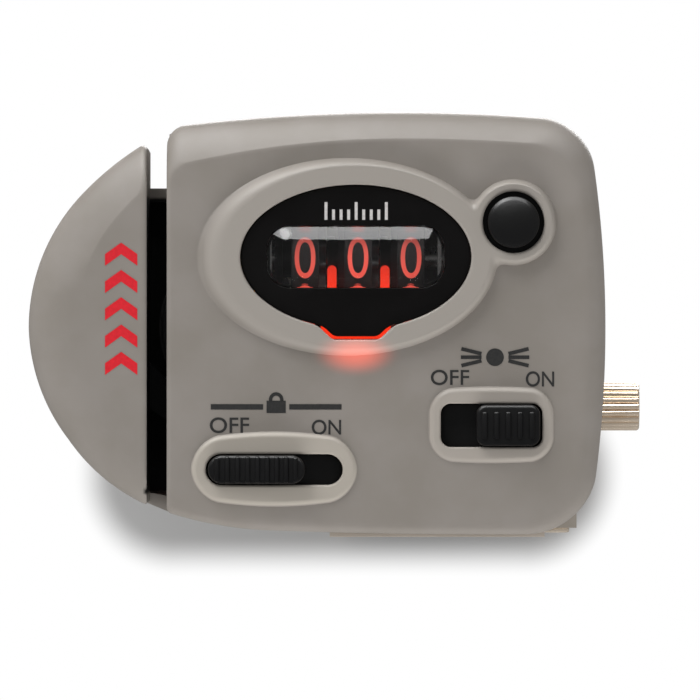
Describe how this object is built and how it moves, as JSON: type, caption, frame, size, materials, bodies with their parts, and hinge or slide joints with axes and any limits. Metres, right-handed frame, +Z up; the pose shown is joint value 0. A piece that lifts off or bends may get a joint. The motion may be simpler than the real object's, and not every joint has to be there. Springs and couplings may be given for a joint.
{
  "type": "fishing line counter",
  "caption": "Clip-on fishing line counter: a moulded case with a line slot, geared number wheels behind an oval lit window, reset button, line lock, light switch and rod clamp.",
  "frame": {"origin": "on the axis of the clamped rod, at the height of the clamp screw", "axes": "+Z up along the rod, +X to the right seen from the face, -Y out of the face"},
  "size_m": [0.0804, 0.0515, 0.055],
  "materials": {
    "case_plastic": "fine moulded satin",
    "black_plastic": "satin",
    "clear_plastic": "clear polished",
    "light_red": "lit translucent red",
    "board_green": "solder mask",
    "steel": "plain",
    "nickel": "bright nickel plate",
    "brass": "turned",
    "number_wheel": "satin black",
    "white_plastic": "moulded acetal",
    "rubber": "matt"
  },
  "bodies": {
    "case": {"front_cover": "case_plastic", "nose_cover": "case_plastic", "back_cover": "case_plastic", "cover_screws": "steel", "display_mask": "black_plastic", "window_lens": "clear_plastic", "light_guide": "light_red", "led": "light_red", "circuit_board": "board_green", "switch_body": "steel", "coin_cell": "steel", "cell_holder": "black_plastic", "cell_contacts": "brass", "counter_frame": "steel", "pinion_shaft": "steel", "lever_pin": "steel", "reset_spring": "steel", "axle_bushes": "brass", "clamp_bracket": "case_plastic", "rod_pad": "rubber", "bracket_screws": "steel", "bracket_rivet": "steel"},
    "door": {"battery_door": "case_plastic"},
    "light_knob": {"switch_knob": "black_plastic"},
    "measuring": {"measuring_wheel": "white_plastic", "wheel_tyre": "rubber", "wheel_axle": "steel"},
    "units": {"units_wheel": "number_wheel", "worm_wheel": "brass", "counter_shaft": "steel"},
    "tens": {"tens_wheel": "number_wheel"},
    "hundreds": {"hundreds_wheel": "number_wheel"},
    "carry_tens": {"tens_pinion": "white_plastic"},
    "carry_hundreds": {"hundreds_pinion": "white_plastic"},
    "button": {"reset_button": "black_plastic"},
    "lever": {"reset_lever": "white_plastic"},
    "lock": {"lock_slider": "black_plastic", "roller_carriage": "white_plastic", "roller_axle": "steel"},
    "roller": {"pinch_roller": "rubber"},
    "jaw": {"clamp_jaw": "case_plastic", "jaw_pad": "rubber"},
    "screw": {"clamp_screw": "nickel", "screw_clip": "steel"}
  },
  "joints": [
    {"name": "wheel_spin", "type": "hinge", "parent": "case", "child": "measuring", "pos_m": [-0.02342, -0.0165, 0.01045], "axis": [0, 1, 0], "continuous": true},
    {"name": "units_spin", "type": "hinge", "parent": "case", "child": "units", "pos_m": [-0.00965, -0.02925, 0.01955], "axis": [1, 0, 0], "continuous": true},
    {"name": "tens_spin", "type": "hinge", "parent": "case", "child": "tens", "pos_m": [-0.00965, -0.02925, 0.01955], "axis": [1, 0, 0], "continuous": true},
    {"name": "hundreds_spin", "type": "hinge", "parent": "case", "child": "hundreds", "pos_m": [-0.00965, -0.02925, 0.01955], "axis": [1, 0, 0], "continuous": true},
    {"name": "tens_carry_spin", "type": "hinge", "parent": "case", "child": "carry_tens", "pos_m": [-0.00965, -0.0229, 0.01008], "axis": [1, 0, 0], "continuous": true},
    {"name": "hundreds_carry_spin", "type": "hinge", "parent": "case", "child": "carry_hundreds", "pos_m": [-0.00965, -0.0229, 0.01008], "axis": [1, 0, 0], "continuous": true},
    {"name": "line_lock_slide", "type": "slide", "parent": "case", "child": "lock", "axis": [1, 0, 0], "range_m": [0, 0.0048]},
    {"name": "roller_spin", "type": "hinge", "parent": "lock", "child": "roller", "pos_m": [-0.04465, -0.0165, 0.01045], "axis": [0, 1, 0], "continuous": true},
    {"name": "light_switch_slide", "type": "slide", "parent": "case", "child": "light_knob", "axis": [-1, 0, 0], "range_m": [0, 0.0044]},
    {"name": "reset_press", "type": "slide", "parent": "case", "child": "button", "axis": [0, 1, 0], "range_m": [0, 0.0015], "stiffness_N_per_m": 400, "springref_m": -0.002, "deforming": ["reset_spring"]},
    {"name": "reset_swing", "type": "hinge", "parent": "case", "child": "lever", "pos_m": [-0.00965, -0.0215, 0.03215], "axis": [1, 0, 0], "range_deg": [0, 11]},
    {"name": "battery_door_slide", "type": "slide", "parent": "case", "child": "door", "axis": [0, 0, -1], "range_m": [0, 0.012]},
    {"name": "clamp_screw_turn", "type": "hinge", "parent": "case", "child": "screw", "pos_m": [0.017, 0, 0], "axis": [-1, 0, 0], "range_deg": [0, 1080]},
    {"name": "clamp_jaw_slide", "type": "slide", "parent": "case", "child": "jaw", "axis": [-1, 0, 0], "range_m": [0, 0.003]}
  ],
  "couplings": [
    {"joint": "units_spin", "follows": "wheel_spin", "ratio": 0.025},
    {"joint": "tens_spin", "follows": "wheel_spin", "ratio": 0.0025},
    {"joint": "hundreds_spin", "follows": "wheel_spin", "ratio": 0.00025},
    {"joint": "tens_carry_spin", "follows": "wheel_spin", "ratio": -0.00625},
    {"joint": "hundreds_carry_spin", "follows": "wheel_spin", "ratio": -0.000625},
    {"joint": "reset_swing", "follows": "reset_press", "rad_per_m": 125},
    {"joint": "clamp_screw_turn", "follows": "clamp_jaw_slide", "rad_per_m": 6283.2}
  ]
}
